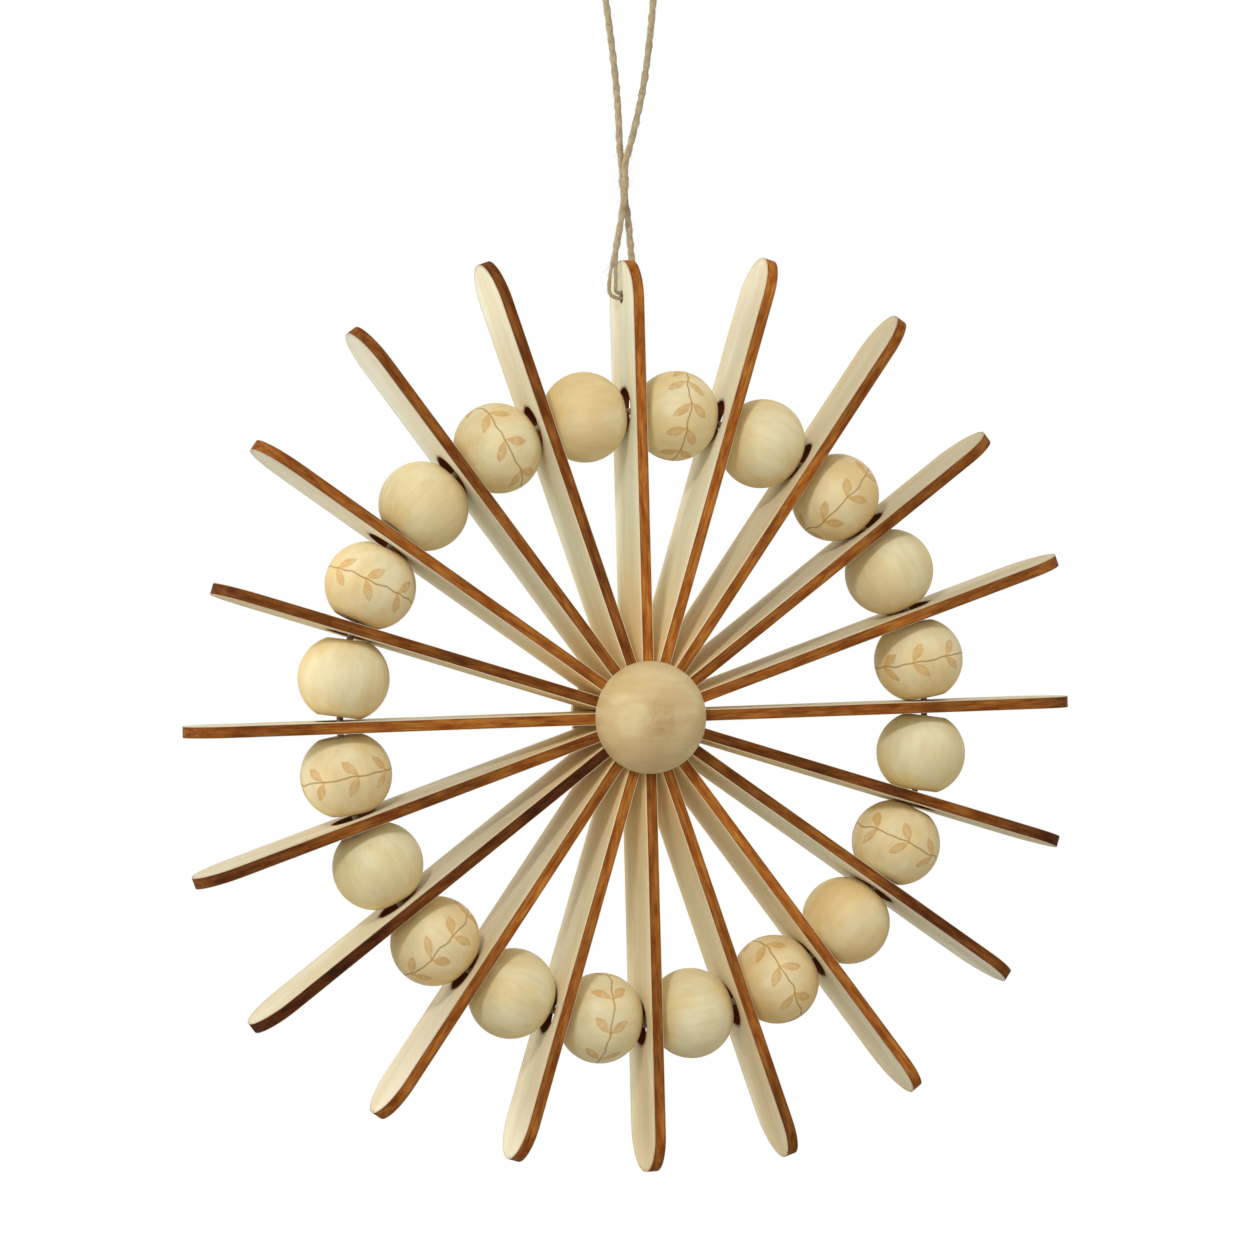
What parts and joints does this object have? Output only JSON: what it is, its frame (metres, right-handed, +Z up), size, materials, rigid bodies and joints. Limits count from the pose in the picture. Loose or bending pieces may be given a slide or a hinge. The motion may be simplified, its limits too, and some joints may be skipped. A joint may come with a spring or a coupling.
{
  "type": "hanging star ornament",
  "caption": "Hanging star of radial wooden blades with a ring of threaded wooden beads, half balls at the hub and a twine loop.",
  "frame": {"origin": "hanging point, at the inside top of the twine loop, just under its knot", "axes": "+Z up, the star lies in the XZ plane below the origin, the front faces -Y"},
  "size_m": [0.1606, 0.0342, 0.2375],
  "materials": {
    "blade_wood": "bare laser-cut sheet wood, burnt brown edges",
    "sprig_bead_wood": "turned pale wood with a painted sprig round the middle",
    "plain_bead_wood": "turned pale wood, bare",
    "half_ball_wood": "turned wood, bare, cross grain",
    "string": "plain cotton string",
    "jute_twine": "two-ply jute twine, slightly hairy"
  },
  "bodies": {
    "hanging_loop": {"twine_left_strand": "jute_twine", "twine_right_strand": "jute_twine", "twine_knot": "jute_twine"},
    "sling": {"twine_sling": "jute_twine"},
    "star": {"blade_01": "blade_wood", "blade_02": "blade_wood", "blade_03": "blade_wood", "blade_04": "blade_wood", "blade_05": "blade_wood", "blade_06": "blade_wood", "blade_07": "blade_wood", "blade_08": "blade_wood", "blade_09": "blade_wood", "blade_10": "blade_wood", "blade_11": "blade_wood", "blade_12": "blade_wood", "blade_13": "blade_wood", "blade_14": "blade_wood", "blade_15": "blade_wood", "blade_16": "blade_wood", "blade_17": "blade_wood", "blade_18": "blade_wood", "blade_19": "blade_wood", "blade_20": "blade_wood", "front_half_ball": "half_ball_wood", "back_half_ball": "half_ball_wood", "bead_string": "string"},
    "sprig_bead_01": {"sprig_bead_01": "sprig_bead_wood"},
    "plain_bead_02": {"plain_bead_02": "plain_bead_wood"},
    "sprig_bead_03": {"sprig_bead_03": "sprig_bead_wood"},
    "plain_bead_04": {"plain_bead_04": "plain_bead_wood"},
    "sprig_bead_05": {"sprig_bead_05": "sprig_bead_wood"},
    "plain_bead_06": {"plain_bead_06": "plain_bead_wood"},
    "sprig_bead_07": {"sprig_bead_07": "sprig_bead_wood"},
    "plain_bead_08": {"plain_bead_08": "plain_bead_wood"},
    "sprig_bead_09": {"sprig_bead_09": "sprig_bead_wood"},
    "plain_bead_10": {"plain_bead_10": "plain_bead_wood"},
    "sprig_bead_11": {"sprig_bead_11": "sprig_bead_wood"},
    "plain_bead_12": {"plain_bead_12": "plain_bead_wood"},
    "sprig_bead_13": {"sprig_bead_13": "sprig_bead_wood"},
    "plain_bead_14": {"plain_bead_14": "plain_bead_wood"},
    "sprig_bead_15": {"sprig_bead_15": "sprig_bead_wood"},
    "plain_bead_16": {"plain_bead_16": "plain_bead_wood"},
    "sprig_bead_17": {"sprig_bead_17": "sprig_bead_wood"},
    "plain_bead_18": {"plain_bead_18": "plain_bead_wood"},
    "sprig_bead_19": {"sprig_bead_19": "sprig_bead_wood"},
    "plain_bead_20": {"plain_bead_20": "plain_bead_wood"}
  },
  "joints": [
    {"name": "twine_twist", "type": "hinge", "parent": "hanging_loop", "child": "sling", "pos_m": [0, 0, -0.0448], "axis": [0, 0, 1], "range_deg": [-180, 180]},
    {"name": "star_tilt", "type": "hinge", "parent": "sling", "child": "star", "pos_m": [0, 0, -0.0656], "axis": [1, 0, 0], "range_deg": [-60, 60]},
    {"name": "sprig_bead_01_turn", "type": "hinge", "parent": "star", "child": "sprig_bead_01", "pos_m": [0.0083, 0, -0.08681], "axis": [0.9877, 0, -0.1564], "continuous": true},
    {"name": "plain_bead_02_turn", "type": "hinge", "parent": "star", "child": "plain_bead_02", "pos_m": [0.02408, 0, -0.09194], "axis": [0.891, 0, -0.454], "continuous": true},
    {"name": "sprig_bead_03_turn", "type": "hinge", "parent": "star", "child": "sprig_bead_03", "pos_m": [0.0375, 0, -0.10169], "axis": [0.7071, 0, -0.7071], "continuous": true},
    {"name": "plain_bead_04_turn", "type": "hinge", "parent": "star", "child": "plain_bead_04", "pos_m": [0.04726, 0, -0.11512], "axis": [0.454, 0, -0.891], "continuous": true},
    {"name": "sprig_bead_05_turn", "type": "hinge", "parent": "star", "child": "sprig_bead_05", "pos_m": [0.05239, 0, -0.1309], "axis": [0.1564, 0, -0.9877], "continuous": true},
    {"name": "plain_bead_06_turn", "type": "hinge", "parent": "star", "child": "plain_bead_06", "pos_m": [0.05239, 0, -0.14749], "axis": [-0.1564, 0, -0.9877], "continuous": true},
    {"name": "sprig_bead_07_turn", "type": "hinge", "parent": "star", "child": "sprig_bead_07", "pos_m": [0.04726, 0, -0.16327], "axis": [-0.454, 0, -0.891], "continuous": true},
    {"name": "plain_bead_08_turn", "type": "hinge", "parent": "star", "child": "plain_bead_08", "pos_m": [0.0375, 0, -0.1767], "axis": [-0.7071, 0, -0.7071], "continuous": true},
    {"name": "sprig_bead_09_turn", "type": "hinge", "parent": "star", "child": "sprig_bead_09", "pos_m": [0.02408, 0, -0.18645], "axis": [-0.891, 0, -0.454], "continuous": true},
    {"name": "plain_bead_10_turn", "type": "hinge", "parent": "star", "child": "plain_bead_10", "pos_m": [0.0083, 0, -0.19158], "axis": [-0.9877, 0, -0.1564], "continuous": true},
    {"name": "sprig_bead_11_turn", "type": "hinge", "parent": "star", "child": "sprig_bead_11", "pos_m": [-0.0083, 0, -0.19158], "axis": [-0.9877, 0, 0.1564], "continuous": true},
    {"name": "plain_bead_12_turn", "type": "hinge", "parent": "star", "child": "plain_bead_12", "pos_m": [-0.02408, 0, -0.18645], "axis": [-0.891, 0, 0.454], "continuous": true},
    {"name": "sprig_bead_13_turn", "type": "hinge", "parent": "star", "child": "sprig_bead_13", "pos_m": [-0.0375, 0, -0.1767], "axis": [-0.7071, 0, 0.7071], "continuous": true},
    {"name": "plain_bead_14_turn", "type": "hinge", "parent": "star", "child": "plain_bead_14", "pos_m": [-0.04726, 0, -0.16327], "axis": [-0.454, 0, 0.891], "continuous": true},
    {"name": "sprig_bead_15_turn", "type": "hinge", "parent": "star", "child": "sprig_bead_15", "pos_m": [-0.05239, 0, -0.14749], "axis": [-0.1564, 0, 0.9877], "continuous": true},
    {"name": "plain_bead_16_turn", "type": "hinge", "parent": "star", "child": "plain_bead_16", "pos_m": [-0.05239, 0, -0.1309], "axis": [0.1564, 0, 0.9877], "continuous": true},
    {"name": "sprig_bead_17_turn", "type": "hinge", "parent": "star", "child": "sprig_bead_17", "pos_m": [-0.04726, 0, -0.11512], "axis": [0.454, 0, 0.891], "continuous": true},
    {"name": "plain_bead_18_turn", "type": "hinge", "parent": "star", "child": "plain_bead_18", "pos_m": [-0.0375, 0, -0.10169], "axis": [0.7071, 0, 0.7071], "continuous": true},
    {"name": "sprig_bead_19_turn", "type": "hinge", "parent": "star", "child": "sprig_bead_19", "pos_m": [-0.02408, 0, -0.09194], "axis": [0.891, 0, 0.454], "continuous": true},
    {"name": "plain_bead_20_turn", "type": "hinge", "parent": "star", "child": "plain_bead_20", "pos_m": [-0.0083, 0, -0.08681], "axis": [0.9877, 0, 0.1564], "continuous": true}
  ]
}
